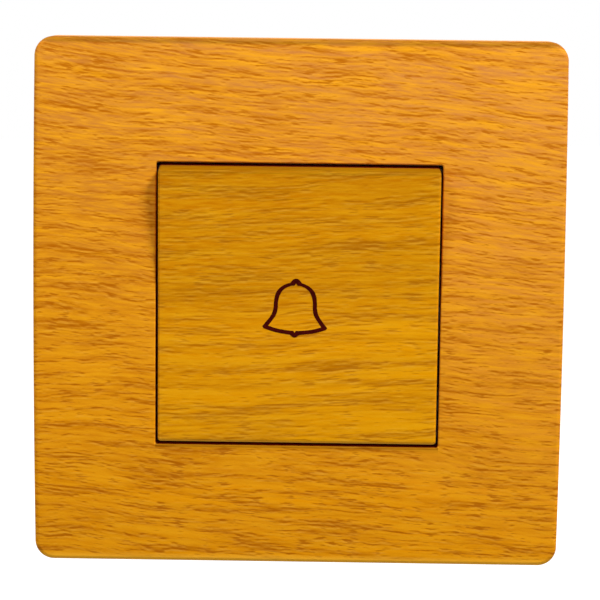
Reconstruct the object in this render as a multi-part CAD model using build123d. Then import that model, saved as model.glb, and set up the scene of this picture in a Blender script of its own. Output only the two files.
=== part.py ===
from build123d import *
import math
import os

# Doorbell switch for a square wall box: a cover frame round one large rocker key.
# X points right, Z points up, and the front faces -Y. The wall is the plane y = 0.
# A height is a distance in front of the wall, so pieces inside the wall box have negative heights.
# All sizes are in millimetres and all angles in degrees.

# Cover frame
FRAME_SIZE = 86.0
FRAME_CORNER = 3.1
FRAME_CROWN = 9.4
ARCH_RADIUS = 357.0
FRAME_SKIN = 1.9
FRAME_WALL = 1.8
FRAME_EDGE = 0.8
WINDOW_SIZE = 46.2
WINDOW_CORNER = 0.4
WINDOW_EDGE = 0.25
COLLAR_WALL = 1.2
COLLAR_DEPTH = 3.6
FRAME_RIB_CLEARANCE = 0.6
POST_RADIUS = 2.0
POST_INSET = 6.5
PRY_WIDTH = 8.0
PRY_HEIGHT = 1.2

# Snap hooks of the frame and their catches in the mounting plate
HOOK_WIDTH = 5.0
HOOK_THICKNESS = 1.3
HOOK_SPREAD = 14.0
HOOK_TIP_HEIGHT = 0.2
HOOK_CREST_HEIGHT = 0.9
HOOK_RIM_SPACE = 0.5
BARB_REACH = 0.85
BARB_CLEARANCE = 0.05
CATCH_LEDGE = 0.8
CATCH_UNDERCUT = 0.8
CATCH_SIDE_CLEARANCE = 0.4
CATCH_BACK_CLEARANCE = 0.3

# Rocker key
PIVOT_HEIGHT = 5.0
KEY_TRAVEL = 6.0
KEY_SIDE_GAP = 0.4
KEY_END_GAP = 0.3
KEY_SKIN = 1.8
KEY_WALL = 1.5
KEY_CORNER = 0.5
KEY_EDGE = 0.45
KEY_VALLEY_RADIUS = 60.0
KEY_SKIRT_HEIGHT = 4.9
KEY_RIB_WALL = 1.2
LEG_THICKNESS = 1.4
LEG_WIDTH = 3.0
LEG_CLEARANCE = 0.3
LEG_BARB = 0.4
LEG_BARB_GAP = 0.1
LEG_TIP = 0.8

# Rocker dolly and its pin
DOLLY_WIDTH = 30.0
DOLLY_LENGTH = 31.0
DOLLY_CORNER = 2.0
DOLLY_BACK = 3.9
DOLLY_THICKNESS = 1.6
RAIL_WIDTH = 5.4
BAR_WIDTH = 5.1
HUB_RADIUS = 2.4
HUB_SIDE_PROUD = 0.2
PIN_RADIUS = 1.0
PIN_PROUD = 0.2
PIN_RUNNING_GAP = 0.06
PIN_SEAT_GAP = 0.02
EYE_WIDTH = 2.4
EYE_LENGTH = 3.6
EYE_REACH = 7.0
NOSE_RADIUS = 1.5
NOSE_WIDTH = 7.0
NOSE_INSET = 3.5
NOSE_GAP = 0.03

# Mounting plate
PLATE_CLEARANCE = 1.7
PLATE_CORNER = 3.0
PLATE_THICKNESS = 2.0
PLATE_RIM_WALL = 1.2
PLATE_RIM_HEIGHT = 3.6
PLATE_RIB_WALL = 1.2
FIXING_SPACING = 60.3
SLOT_WIDTH = 4.5
SLOT_LENGTH = 10.0
SLOT_PAD_MARGIN = 2.4
SLOT_PAD_RISE = 0.6
POST_PAD_RISE = 0.4
MODULE_CLEARANCE = 0.3
SCREW_BOSS_WALL = 1.4
SCREW_BOSS_DEPTH = 3.6

# Housing behind the plate
BASE_WIDTH = 40.0
BASE_MARGIN = 3.0
BASE_DEPTH = 20.0
BASE_CORNER = 2.0
BASE_WALL = 1.6
BASE_FLOOR = 1.6
BASE_LEDGE = 0.8
BACK_EDGE = 0.8
MOUTH_CORNER = 1.0
FLANGE_LIP = 2.0
FLANGE_CORNER = 2.5
FLANGE_THICKNESS = 1.2
EAR_RADIUS = 3.0
MODULE_SCREW_X = 25.5
MODULE_SCREW_Z = 11.0
CORE_WALL = 1.2
CHAMBER_CLEARANCE = 0.2
WIRE_ENTRY_RADIUS = 2.0
DRIVER_HOLE_RADIUS = 3.1
BACK_GROOVE_LENGTH = 20.0
BACK_GROOVE_WIDTH = 1.6
BACK_GROOVE_DEPTH = 0.5

# Lid of the housing
LID_FRONT = 2.2
LID_THICKNESS = 1.6
LID_CLEARANCE = 0.2
LUG_THICKNESS = 2.0
LUG_GAP = 0.3
LUG_RADIUS = 2.2
LUG_FOOT = 7.0
BUSH_WALL = 1.2
BUSH_BACK = 0.0
STOP_INSET = 1.3
STOP_SPREAD = 8.0
STOP_LENGTH = 5.0
STOP_WIDTH = 2.4
STOP_GAP = 0.06
HOLD_POST_RADIUS = 1.6

# Plunger, spring and cup
PLUNGER_RADIUS = 2.6
PLUNGER_RUNNING_GAP = 0.06
PLUNGER_FLANGE_RADIUS = 3.8
PLUNGER_FLANGE_THICKNESS = 1.3
PLUNGER_FLANGE_GAP = 0.1
PLUNGER_ROUNDING = 0.4
STEM_RADIUS = 1.4
STEM_TAIL = 1.4
STEM_SLIP_GAP = 0.06
CUP_RADIUS = 3.5
CUP_WALL = 0.5
CUP_FLOOR = 0.6
CUP_RIM = 2.0
SPRING_RADIUS = 2.2
SPRING_WIRE_RADIUS = 0.25
SPRING_WIRE_SIDES = 8
SPRING_TURNS = 6
SPRING_SPACE = 10.2
SPRING_END_GAP = 0.02
SPRING_POCKET_DEPTH = 1.5
SPRING_POCKET_CLEARANCE = 0.4
SPRING_BOSS_WALL = 1.1
POINTS_PER_TURN = 24

# Contacts
BRIDGE_LENGTH = 20.8
BRIDGE_WIDTH = 5.2
BRIDGE_THICKNESS = 0.8
BRIDGE_CENTRE_RADIUS = 3.9
CONTACT_SPREAD = 8.0
CONTACT_END_GAP = 0.04
RIVET_HEAD_RADIUS = 1.7
RIVET_HEAD = 0.6
RIVET_SHANK_RADIUS = 0.75
RIVET_CLENCH_RADIUS = 1.1
RIVET_CLENCH = 0.3
RIVET_DOME_SHARE = 0.6
RIVET_SEAT_GAP = 0.02
RIVET_RELIEF = 0.3
STRIP_END_MARGIN = 0.3
STRIP_THICKNESS = 0.8
STRIP_ARM_WIDTH = 4.8
STRIP_LEG_WIDTH = 3.8
STRIP_CORNER = 0.6
STRIP_SIDE_GAP = 0.3

# Terminals
TERMINAL_X = 13.0
TERMINAL_Z = -8.5
TERMINAL_WIDTH = 7.0
TERMINAL_LENGTH = 8.0
TERMINAL_DEPTH = 8.0
TERMINAL_CHAMFER = 0.4
WIRE_BORE_RADIUS = 1.6
WIRE_BORE_COVER = 1.8
SPIGOT_RADIUS = 1.3
SPIGOT_GAP = 0.03

# Screws
TERMINAL_SCREW_RADIUS = 1.45
TERMINAL_SCREW_HEAD_RADIUS = 2.7
TERMINAL_SCREW_HEAD = 1.8
TERMINAL_SCREW_BACKED_OFF = 1.6
MODULE_SCREW_RADIUS = 1.2
MODULE_SCREW_LENGTH = 5.8
MODULE_SCREW_HEAD_RADIUS = 2.1
MODULE_SCREW_HEAD = 1.2
LID_SCREW_RADIUS = 1.0
LID_SCREW_LENGTH = 6.0
LID_SCREW_HEAD_RADIUS = 1.9
LID_SCREW_HEAD = 0.9
LID_SCREW_UPPER_Z = 3.0
LID_SCREW_LOWER_Z = -12.5
LID_SCREW_BOSS_RADIUS = 2.4
SCREW_GAP = 0.05
SCREW_PASS_GAP = 0.2
RECESS_WIDTH = 0.6
RECESS_DEPTH = 0.5
RECESS_SHARE = 0.5

# Depth by which a cut runs past a face, and a joined piece runs into its neighbour
OVERRUN = 1.0
SINK = 0.3

# Sizes that follow from the ones above
COLLAR_BACK = FRAME_CROWN - COLLAR_DEPTH
FRAME_RIB_SPREAD = (WINDOW_SIZE + COLLAR_WALL) / 2
PLATE_SIZE = FRAME_SIZE - 2 * (FRAME_WALL + PLATE_CLEARANCE)
POST_SPREAD = PLATE_SIZE / 2 - POST_INSET
KEY_WIDTH = WINDOW_SIZE - 2 * KEY_SIDE_GAP
KEY_SWEEP_RADIUS = math.hypot(WINDOW_SIZE / 2 - KEY_END_GAP, COLLAR_BACK - PIVOT_HEIGHT)
REST_TILT = KEY_TRAVEL / 2
DOLLY_FRONT = DOLLY_BACK + DOLLY_THICKNESS
RAIL_X = (DOLLY_WIDTH - RAIL_WIDTH) / 2
RAIL_INNER_X = DOLLY_WIDTH / 2 - RAIL_WIDTH
BAR_Z = (DOLLY_LENGTH - BAR_WIDTH) / 2
NOSE_REACH = DOLLY_LENGTH / 2 - NOSE_INSET
STOP_REACH = DOLLY_LENGTH / 2 - STOP_INSET
FRAME_RIB_BACK = PLATE_RIM_HEIGHT + FRAME_RIB_CLEARANCE
HOOK_INNER_X = PLATE_SIZE / 2 - PLATE_RIM_WALL - HOOK_RIM_SPACE - HOOK_THICKNESS
CATCH_X = HOOK_INNER_X - BARB_REACH - BARB_CLEARANCE
BASE_LENGTH = DOLLY_LENGTH + 2 * BASE_MARGIN
FLANGE_WIDTH = BASE_WIDTH + 2 * FLANGE_LIP
FLANGE_LENGTH = BASE_LENGTH + 2 * FLANGE_LIP
FLANGE_FRONT = PLATE_THICKNESS + FLANGE_THICKNESS
LID_BACK = LID_FRONT - LID_THICKNESS
BASE_FLOOR_FRONT = BASE_FLOOR - BASE_DEPTH
MOUTH_WIDTH = BASE_WIDTH - 2 * BASE_WALL
MOUTH_LENGTH = BASE_LENGTH - 2 * BASE_WALL
CAVITY_WIDTH = MOUTH_WIDTH - 2 * BASE_LEDGE
CAVITY_LENGTH = MOUTH_LENGTH - 2 * BASE_LEDGE
STROKE = 2 * NOSE_REACH * math.sin(math.radians(REST_TILT))
PLUNGER_FRONT = PIVOT_HEIGHT + STROKE / 2 - NOSE_RADIUS - NOSE_GAP
PLUNGER_SHOULDER = BUSH_BACK - PLUNGER_FLANGE_GAP
BRIDGE_FRONT = PLUNGER_SHOULDER - PLUNGER_FLANGE_THICKNESS
BRIDGE_BACK = BRIDGE_FRONT - BRIDGE_THICKNESS
SPRING_FRONT = BRIDGE_BACK - CUP_FLOOR
SPRING_BACK = SPRING_FRONT - SPRING_SPACE
STEM_BACK = SPRING_BACK - STEM_TAIL
FIXED_RIVET_FRONT = BRIDGE_BACK - RIVET_HEAD - STROKE - CONTACT_END_GAP
STRIP_FRONT = FIXED_RIVET_FRONT - RIVET_HEAD
STRIP_BACK = STRIP_FRONT - STRIP_THICKNESS
STRIP_INNER_X = CONTACT_SPREAD - RIVET_HEAD_RADIUS - STRIP_END_MARGIN
STRIP_OUTER_X = CAVITY_WIDTH / 2 - STRIP_SIDE_GAP
TERMINAL_BACK = STRIP_BACK - TERMINAL_DEPTH
WIRE_HEIGHT = STRIP_BACK - WIRE_BORE_COVER - WIRE_BORE_RADIUS
SCREW_TIP = WIRE_HEIGHT - WIRE_BORE_RADIUS
SPRING_BOSS_RADIUS = SPRING_RADIUS + SPRING_WIRE_RADIUS + SPRING_POCKET_CLEARANCE + SPRING_BOSS_WALL
CHAMBER_INNER_X = TERMINAL_X - TERMINAL_WIDTH / 2 - CHAMBER_CLEARANCE - CORE_WALL
CHAMBER_TOP_Z = TERMINAL_Z + TERMINAL_LENGTH / 2 + CHAMBER_CLEARANCE + CORE_WALL

SIDES = (-1, 1)
CORNERS = [(x, z) for x in SIDES for z in SIDES]


# Shapes

def prism(outline, low, high):
    """An outline in X and Z, drawn out from one height to another."""
    return extrude(Plane.XZ.offset(low) * outline, high - low)


def rod(radius, x, z, low, high):
    """A round rod that points to the front."""
    return prism(Pos(x, z) * Circle(radius), low, high)


def bar(x_from, x_to, z_from, z_to, low, high):
    """A rectangular bar between two X, two Z and two heights."""
    outline = Pos((x_from + x_to) / 2, (z_from + z_to) / 2) * Rectangle(x_to - x_from, z_to - z_from)
    return prism(outline, low, high)


def rod_across(radius, x_from, x_to, height, z):
    """A round rod that points along X."""
    middle = Pos((x_from + x_to) / 2, -height, z)
    return middle * Rotation(0, 90, 0) * Cylinder(radius, x_to - x_from)


def rod_upright(radius, x, height, z_from, z_to):
    """A round rod that points along Z."""
    return Pos(x, -height, (z_from + z_to) / 2) * Cylinder(radius, z_to - z_from)


def turned(points):
    """A body turned about a line that points to the front, from radii and heights."""
    outline = make_face(Polyline(*[(radius, -height) for radius, height in points], close=True))
    return revolve(outline, Axis.Y)


def tilted(shape):
    """A piece of the rocker, turned from level to its rest, where the top stands out."""
    pivot = Axis((0, -PIVOT_HEIGHT, 0), (1, 0, 0))
    return shape.rotate(pivot, REST_TILT)


def mirrored(shape):
    """The same shape on the other side of the middle."""
    return mirror(shape, Plane.YZ)


def largest_face(shape, kind):
    return shape.faces().filter_by(kind).sort_by(SortBy.AREA)[-1]


# Cover frame

def under_arch(drop):
    """All that lies behind the arched front, or behind the same arch set back by a drop."""
    reach = FRAME_SIZE / 2 + OVERRUN
    return rod_across(ARCH_RADIUS - drop, -reach, reach, FRAME_CROWN - ARCH_RADIUS, 0)


def from_skin(outline, back):
    """A rib, post or collar that grows backwards out of the frame's skin."""
    return prism(outline, back, FRAME_CROWN) & under_arch(FRAME_SKIN / 2)


def frame_shell():
    outside = prism(RectangleRounded(FRAME_SIZE, FRAME_SIZE, FRAME_CORNER), 0, FRAME_CROWN + OVERRUN)
    outside = outside & under_arch(0)
    face = largest_face(outside, GeomType.CYLINDER)
    outside = outside.fillet(FRAME_EDGE, face.edges())
    hollow = FRAME_SIZE - 2 * FRAME_WALL
    inside = prism(RectangleRounded(hollow, hollow, FRAME_CORNER - FRAME_WALL), -OVERRUN, FRAME_CROWN)
    return outside - (inside & under_arch(FRAME_SKIN))


def frame_ribs():
    """Eight ribs that carry the walls of the window's collar on to the outer walls."""
    inner = WINDOW_SIZE / 2 + COLLAR_WALL - SINK
    outer = FRAME_SIZE / 2 - FRAME_WALL + SINK
    upright = Rectangle(COLLAR_WALL, outer - inner)
    level = Rectangle(outer - inner, COLLAR_WALL)
    ribs = []
    for x, z in CORNERS:
        ribs.append(from_skin(Pos(x * FRAME_RIB_SPREAD, z * (inner + outer) / 2) * upright, FRAME_RIB_BACK))
        ribs.append(from_skin(Pos(x * (inner + outer) / 2, z * FRAME_RIB_SPREAD) * level, FRAME_RIB_BACK))
    return ribs


def frame_hook():
    """One snap hook on the right, in outline across its width."""
    outer_x = HOOK_INNER_X + HOOK_THICKNESS
    crest_x = HOOK_INNER_X - BARB_REACH
    top = FRAME_CROWN - FRAME_SKIN
    outline = Polyline(
        (HOOK_INNER_X, -top),
        (HOOK_INNER_X, -HOOK_CREST_HEIGHT - BARB_REACH / 2),
        (crest_x, -HOOK_CREST_HEIGHT),
        (HOOK_INNER_X, -HOOK_TIP_HEIGHT),
        (outer_x, -HOOK_TIP_HEIGHT),
        (outer_x, -top),
        close=True,
    )
    return extrude(make_face(outline), HOOK_WIDTH / 2, both=True)


def pry_notch():
    """The notch in the underside where a screwdriver lifts the frame off."""
    low_z = -FRAME_SIZE / 2 - OVERRUN
    high_z = -FRAME_SIZE / 2 + FRAME_WALL + OVERRUN
    return bar(-PRY_WIDTH / 2, PRY_WIDTH / 2, low_z, high_z, -OVERRUN, PRY_HEIGHT)


def cover_frame():
    frame = frame_shell()
    collar_size = WINDOW_SIZE + 2 * COLLAR_WALL
    collar = RectangleRounded(collar_size, collar_size, WINDOW_CORNER + COLLAR_WALL)
    frame += from_skin(collar, COLLAR_BACK)
    for rib in frame_ribs():
        frame += rib
    for x, z in CORNERS:
        post = Pos(x * POST_SPREAD, z * POST_SPREAD) * Circle(POST_RADIUS)
        frame += from_skin(post, PLATE_THICKNESS + POST_PAD_RISE)
    for z in SIDES:
        hook = Pos(0, 0, z * HOOK_SPREAD) * frame_hook()
        hook = hook & under_arch(FRAME_SKIN / 2)
        frame += hook
        frame += mirrored(hook)
    window = RectangleRounded(WINDOW_SIZE, WINDOW_SIZE, WINDOW_CORNER)
    frame -= prism(window, -OVERRUN, FRAME_CROWN + OVERRUN)
    frame -= pry_notch()
    face = largest_face(frame, GeomType.CYLINDER)
    return frame.fillet(WINDOW_EDGE, face.inner_wires()[0].edges())


# Rocker key and dolly, drawn level and then tilted to rest

def key_front_curve(drop):
    """The key's front seen from the side: two halves of the frame's arch, each flush with the frame
    when its end of the key is pressed in, joined by a wide shallow valley."""
    tilt = math.radians(REST_TILT)
    radius = ARCH_RADIUS - drop
    valley = KEY_VALLEY_RADIUS + drop
    centre_z = (ARCH_RADIUS - FRAME_CROWN + PIVOT_HEIGHT) * math.sin(tilt)
    centre_height = PIVOT_HEIGHT - (ARCH_RADIUS - FRAME_CROWN + PIVOT_HEIGHT) * math.cos(tilt)
    valley_rise = math.sqrt((ARCH_RADIUS + KEY_VALLEY_RADIUS) ** 2 - centre_z**2)
    share = radius / (radius + valley)
    join_z = centre_z * (1 - share)
    join_height = centre_height + valley_rise * share
    valley_floor = centre_height + valley_rise - valley
    end_z = WINDOW_SIZE / 2 + OVERRUN
    end_height = centre_height + math.sqrt(radius**2 - (end_z - centre_z) ** 2)
    middle_z = (join_z + end_z) / 2
    middle_height = centre_height + math.sqrt(radius**2 - (middle_z - centre_z) ** 2)
    upper = ThreePointArc((-join_height, join_z), (-middle_height, middle_z), (-end_height, end_z))
    lower = ThreePointArc((-join_height, -join_z), (-middle_height, -middle_z), (-end_height, -end_z))
    middle = ThreePointArc((-join_height, -join_z), (-valley_floor, 0), (-join_height, join_z))
    return lower, middle, upper, end_z, end_height


def key_body(drop, wall, back):
    """The key's outer form, or its hollow when set in by a skin and a wall."""
    lower, middle, upper, end_z, end_height = key_front_curve(drop)
    back_edge = Polyline((-end_height, end_z), (-back, end_z), (-back, -end_z), (-end_height, -end_z))
    edges = [*lower.edges(), *middle.edges(), *upper.edges(), *back_edge.edges()]
    body = extrude(make_face(Plane.YZ * Wire(edges)), KEY_WIDTH / 2 - wall, both=True)
    reach = KEY_WIDTH / 2
    return body & rod_across(KEY_SWEEP_RADIUS - wall, -reach, reach, PIVOT_HEIGHT, 0)


def key_shell():
    outside = key_body(0, 0, KEY_SKIRT_HEIGHT)
    corners = outside.edges().filter_by(lambda edge: edge.bounding_box().size.X < KEY_SIDE_GAP)
    corners = corners.filter_by(lambda edge: edge.bounding_box().size.Z < KEY_WALL)
    outside = outside.fillet(KEY_CORNER, corners)
    front_edges = ShapeList()
    for face in outside.faces().filter_by(lambda face: face.normal_at().Y < -0.9):
        front_edges += face.edges()
    rim = front_edges.filter_by(lambda edge: is_rim(edge))
    outside = outside.fillet(KEY_EDGE, rim)
    return outside - key_body(KEY_SKIN, KEY_WALL, KEY_SKIRT_HEIGHT - OVERRUN)


def is_rim(edge):
    """True for an edge round the key's front, and not for a join within it."""
    middle = edge @ 0.5
    at_side = abs(middle.X) > KEY_WIDTH / 2 - KEY_CORNER
    at_end = abs(middle.Z) > KEY_SWEEP_RADIUS - KEY_CORNER - OVERRUN
    return at_side or at_end


def key_leg():
    """One clip leg at the upper right, hooked behind the dolly's rail."""
    inner_x = RAIL_X - EYE_WIDTH / 2 + LEG_CLEARANCE
    outer_x = inner_x + LEG_THICKNESS
    crest_x = RAIL_X + EYE_WIDTH / 2 + LEG_BARB
    barb_top = DOLLY_BACK - LEG_BARB_GAP
    tip = barb_top - LEG_TIP
    top = FRAME_CROWN - KEY_SKIN / 2
    outline = Polyline(
        (inner_x, -top),
        (inner_x, -tip),
        (outer_x, -tip),
        (crest_x, -barb_top + LEG_TIP / 2),
        (crest_x, -barb_top),
        (outer_x, -barb_top),
        (outer_x, -top),
        close=True,
    )
    leg = extrude(make_face(outline), LEG_WIDTH / 2, both=True)
    return Pos(0, 0, EYE_REACH) * leg


def key_rib(outline):
    return prism(outline, 0, FRAME_CROWN + OVERRUN)


def rocker_key():
    key = key_shell()
    hollow = key_body(KEY_SKIN / 2, KEY_WALL / 2, DOLLY_FRONT)
    rib_x = RAIL_INNER_X + KEY_RIB_WALL / 2
    notch = HUB_RADIUS + SINK
    rib_end = DOLLY_LENGTH / 2
    for x, z in CORNERS:
        upright = Rectangle(KEY_RIB_WALL, rib_end - notch)
        key += hollow & key_rib(Pos(x * rib_x, z * (notch + rib_end) / 2) * upright)
    for z in SIDES:
        key += hollow & key_rib(Pos(0, z * BAR_Z) * Rectangle(2 * rib_x, KEY_RIB_WALL))
    leg = key_leg()
    lower_leg = mirror(leg, Plane.XY)
    for piece in (leg, lower_leg, mirrored(leg), mirrored(lower_leg)):
        key += piece
    return tilted(key)


def rocker_dolly():
    plate = prism(RectangleRounded(DOLLY_WIDTH, DOLLY_LENGTH, DOLLY_CORNER), DOLLY_BACK, DOLLY_FRONT)
    opening = Rectangle(2 * RAIL_INNER_X, DOLLY_LENGTH - 2 * BAR_WIDTH)
    plate -= prism(opening, DOLLY_BACK - OVERRUN, DOLLY_FRONT + OVERRUN)
    nose = rod_across(NOSE_RADIUS, -NOSE_WIDTH / 2, NOSE_WIDTH / 2, PIVOT_HEIGHT, NOSE_REACH)
    plate += nose & prism(Rectangle(DOLLY_WIDTH, DOLLY_LENGTH), 0, DOLLY_FRONT)
    hub_end = DOLLY_WIDTH / 2 + HUB_SIDE_PROUD
    for side in SIDES:
        ends = sorted((side * RAIL_INNER_X, side * hub_end))
        plate += rod_across(HUB_RADIUS, *ends, PIVOT_HEIGHT, 0)
    for x, z in CORNERS:
        eye = Pos(x * RAIL_X, z * EYE_REACH) * Rectangle(EYE_WIDTH, EYE_LENGTH)
        plate -= prism(eye, DOLLY_BACK - OVERRUN, DOLLY_FRONT + OVERRUN)
    plate -= rod_across(PIN_RADIUS + PIN_RUNNING_GAP, -DOLLY_WIDTH, DOLLY_WIDTH, PIVOT_HEIGHT, 0)
    return tilted(plate)


def lug_inner_x():
    return DOLLY_WIDTH / 2 + HUB_SIDE_PROUD + LUG_GAP


def pivot_pin():
    end = lug_inner_x() + LUG_THICKNESS + PIN_PROUD
    pin = rod_across(PIN_RADIUS, -end, end, PIVOT_HEIGHT, 0)
    return pin.chamfer(PIN_PROUD, None, pin.edges().filter_by(GeomType.CIRCLE))


# Mounting plate

def catch_cut():
    """The hole for one hook at the right, with the undercut that the barb sits in."""
    z_half = HOOK_WIDTH / 2 + CATCH_SIDE_CLEARANCE
    outer_x = HOOK_INNER_X + HOOK_THICKNESS + CATCH_BACK_CLEARANCE
    hole = bar(CATCH_X, outer_x, -z_half, z_half, -OVERRUN, PLATE_RIM_HEIGHT)
    undercut_top = PLATE_THICKNESS - CATCH_LEDGE
    undercut = bar(CATCH_X - CATCH_UNDERCUT, outer_x, -z_half, z_half, -OVERRUN, undercut_top)
    return hole + undercut


def plate_ribs():
    """Ribs that cross the plate above and below the housing, and short ones out to the rim."""
    outer = PLATE_SIZE / 2 - PLATE_RIM_WALL + SINK
    rib_z = FLANGE_LENGTH / 2 + PLATE_RIB_WALL
    ribs = [Pos(0, z * rib_z) * Rectangle(2 * outer, PLATE_RIB_WALL) for z in SIDES]
    for x, z in CORNERS:
        short = Rectangle(PLATE_RIB_WALL, outer - rib_z)
        ribs.append(Pos(x * FLANGE_WIDTH / 2, z * (rib_z + outer) / 2) * short)
    return [prism(rib, PLATE_THICKNESS - SINK, PLATE_RIM_HEIGHT) for rib in ribs]


def mounting_plate():
    plate = prism(RectangleRounded(PLATE_SIZE, PLATE_SIZE, PLATE_CORNER), 0, PLATE_RIM_HEIGHT)
    tray_size = PLATE_SIZE - 2 * PLATE_RIM_WALL
    tray = RectangleRounded(tray_size, tray_size, PLATE_CORNER - PLATE_RIM_WALL)
    plate -= prism(tray, PLATE_THICKNESS, PLATE_RIM_HEIGHT + OVERRUN)
    for rib in plate_ribs():
        plate += rib
    pad_length = SLOT_LENGTH + 2 * SLOT_PAD_MARGIN
    pad_width = SLOT_WIDTH + 2 * SLOT_PAD_MARGIN
    pad = RectangleRounded(pad_length, pad_width, SLOT_PAD_MARGIN)
    for side in SIDES:
        spot = Pos(side * FIXING_SPACING / 2, 0)
        plate += prism(spot * pad & tray, PLATE_THICKNESS - SINK, PLATE_THICKNESS + SLOT_PAD_RISE)
        plate -= prism(spot * SlotOverall(SLOT_LENGTH, SLOT_WIDTH), -OVERRUN, PLATE_RIM_HEIGHT)
    hole_radius = MODULE_SCREW_RADIUS + SCREW_GAP
    hole_back = -SCREW_BOSS_DEPTH - OVERRUN
    post_pad_height = PLATE_THICKNESS + POST_PAD_RISE
    for x, z in CORNERS:
        screw_x = x * MODULE_SCREW_X
        screw_z = z * MODULE_SCREW_Z
        plate += rod(hole_radius + SCREW_BOSS_WALL, screw_x, screw_z, -SCREW_BOSS_DEPTH, SINK)
        plate -= rod(hole_radius, screw_x, screw_z, hole_back, PLATE_RIM_HEIGHT)
        post_pad = Pos(x * POST_SPREAD, z * POST_SPREAD) * Circle(POST_RADIUS + SINK)
        plate += prism(post_pad, PLATE_THICKNESS - SINK, post_pad_height)
    window_width = BASE_WIDTH + 2 * MODULE_CLEARANCE
    window_length = BASE_LENGTH + 2 * MODULE_CLEARANCE
    window = RectangleRounded(window_width, window_length, BASE_CORNER)
    plate -= prism(window, -OVERRUN, PLATE_RIM_HEIGHT + OVERRUN)
    for z in SIDES:
        catch = Pos(0, 0, z * HOOK_SPREAD) * catch_cut()
        plate -= catch
        plate -= mirrored(catch)
    return plate


# Housing

def base_shell():
    shell = prism(RectangleRounded(BASE_WIDTH, BASE_LENGTH, BASE_CORNER), -BASE_DEPTH, FLANGE_FRONT)
    flange = RectangleRounded(FLANGE_WIDTH, FLANGE_LENGTH, FLANGE_CORNER)
    shell += prism(flange, PLATE_THICKNESS, FLANGE_FRONT)
    for x, z in CORNERS:
        screw_x = x * MODULE_SCREW_X
        screw_z = z * MODULE_SCREW_Z
        x_range = sorted((x * BASE_WIDTH / 2, screw_x))
        shell += bar(*x_range, screw_z - EAR_RADIUS, screw_z + EAR_RADIUS, PLATE_THICKNESS, FLANGE_FRONT)
        shell += rod(EAR_RADIUS, screw_x, screw_z, PLATE_THICKNESS, FLANGE_FRONT)
    back = shell.faces().sort_by(Axis.Y)[-1]
    shell = shell.fillet(BACK_EDGE, back.edges())
    mouth = RectangleRounded(MOUTH_WIDTH, MOUTH_LENGTH, MOUTH_CORNER)
    shell -= prism(mouth, LID_BACK, FLANGE_FRONT + OVERRUN)
    cavity = RectangleRounded(CAVITY_WIDTH, CAVITY_LENGTH, MOUTH_CORNER)
    shell -= prism(cavity, BASE_FLOOR_FRONT, LID_BACK + OVERRUN)
    for x, z in CORNERS:
        hole_radius = MODULE_SCREW_RADIUS + SCREW_PASS_GAP
        shell -= rod(hole_radius, x * MODULE_SCREW_X, z * MODULE_SCREW_Z, 0, FLANGE_FRONT + OVERRUN)
    return shell


def terminal_chamber():
    """The moulded block at the right that holds one terminal, with its wire entry and driver hole."""
    outer_x = CAVITY_WIDTH / 2 + SINK
    low_z = -CAVITY_LENGTH / 2 - SINK
    block = bar(CHAMBER_INNER_X, outer_x, low_z, CHAMBER_TOP_Z, BASE_FLOOR_FRONT - SINK, STRIP_BACK)
    half_width = TERMINAL_WIDTH / 2 + CHAMBER_CLEARANCE
    half_length = TERMINAL_LENGTH / 2 + CHAMBER_CLEARANCE
    block -= bar(TERMINAL_X - half_width, TERMINAL_X + half_width, TERMINAL_Z - half_length,
                 TERMINAL_Z + half_length, TERMINAL_BACK, STRIP_BACK + OVERRUN)
    return block


def contact_shelf():
    """The cored shelf at the right that carries one fixed contact."""
    outer_x = CAVITY_WIDTH / 2 + SINK
    low_z = NOSE_REACH - STRIP_ARM_WIDTH / 2
    high_z = NOSE_REACH + STRIP_ARM_WIDTH / 2
    shelf = bar(STRIP_INNER_X, outer_x, low_z, high_z, BASE_FLOOR_FRONT - SINK, STRIP_BACK)
    core_x = (STRIP_INNER_X + CORE_WALL, CAVITY_WIDTH / 2)
    core_z = (low_z + CORE_WALL, high_z - CORE_WALL)
    core = bar(*core_x, *core_z, BASE_FLOOR_FRONT, STRIP_BACK + OVERRUN)
    relief_back = STRIP_BACK - RIVET_CLENCH - RIVET_RELIEF
    relief_radius = RIVET_CLENCH_RADIUS + RIVET_RELIEF
    relief = rod(relief_radius, CONTACT_SPREAD, NOSE_REACH, relief_back, STRIP_BACK + OVERRUN)
    return shelf - core - relief


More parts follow.
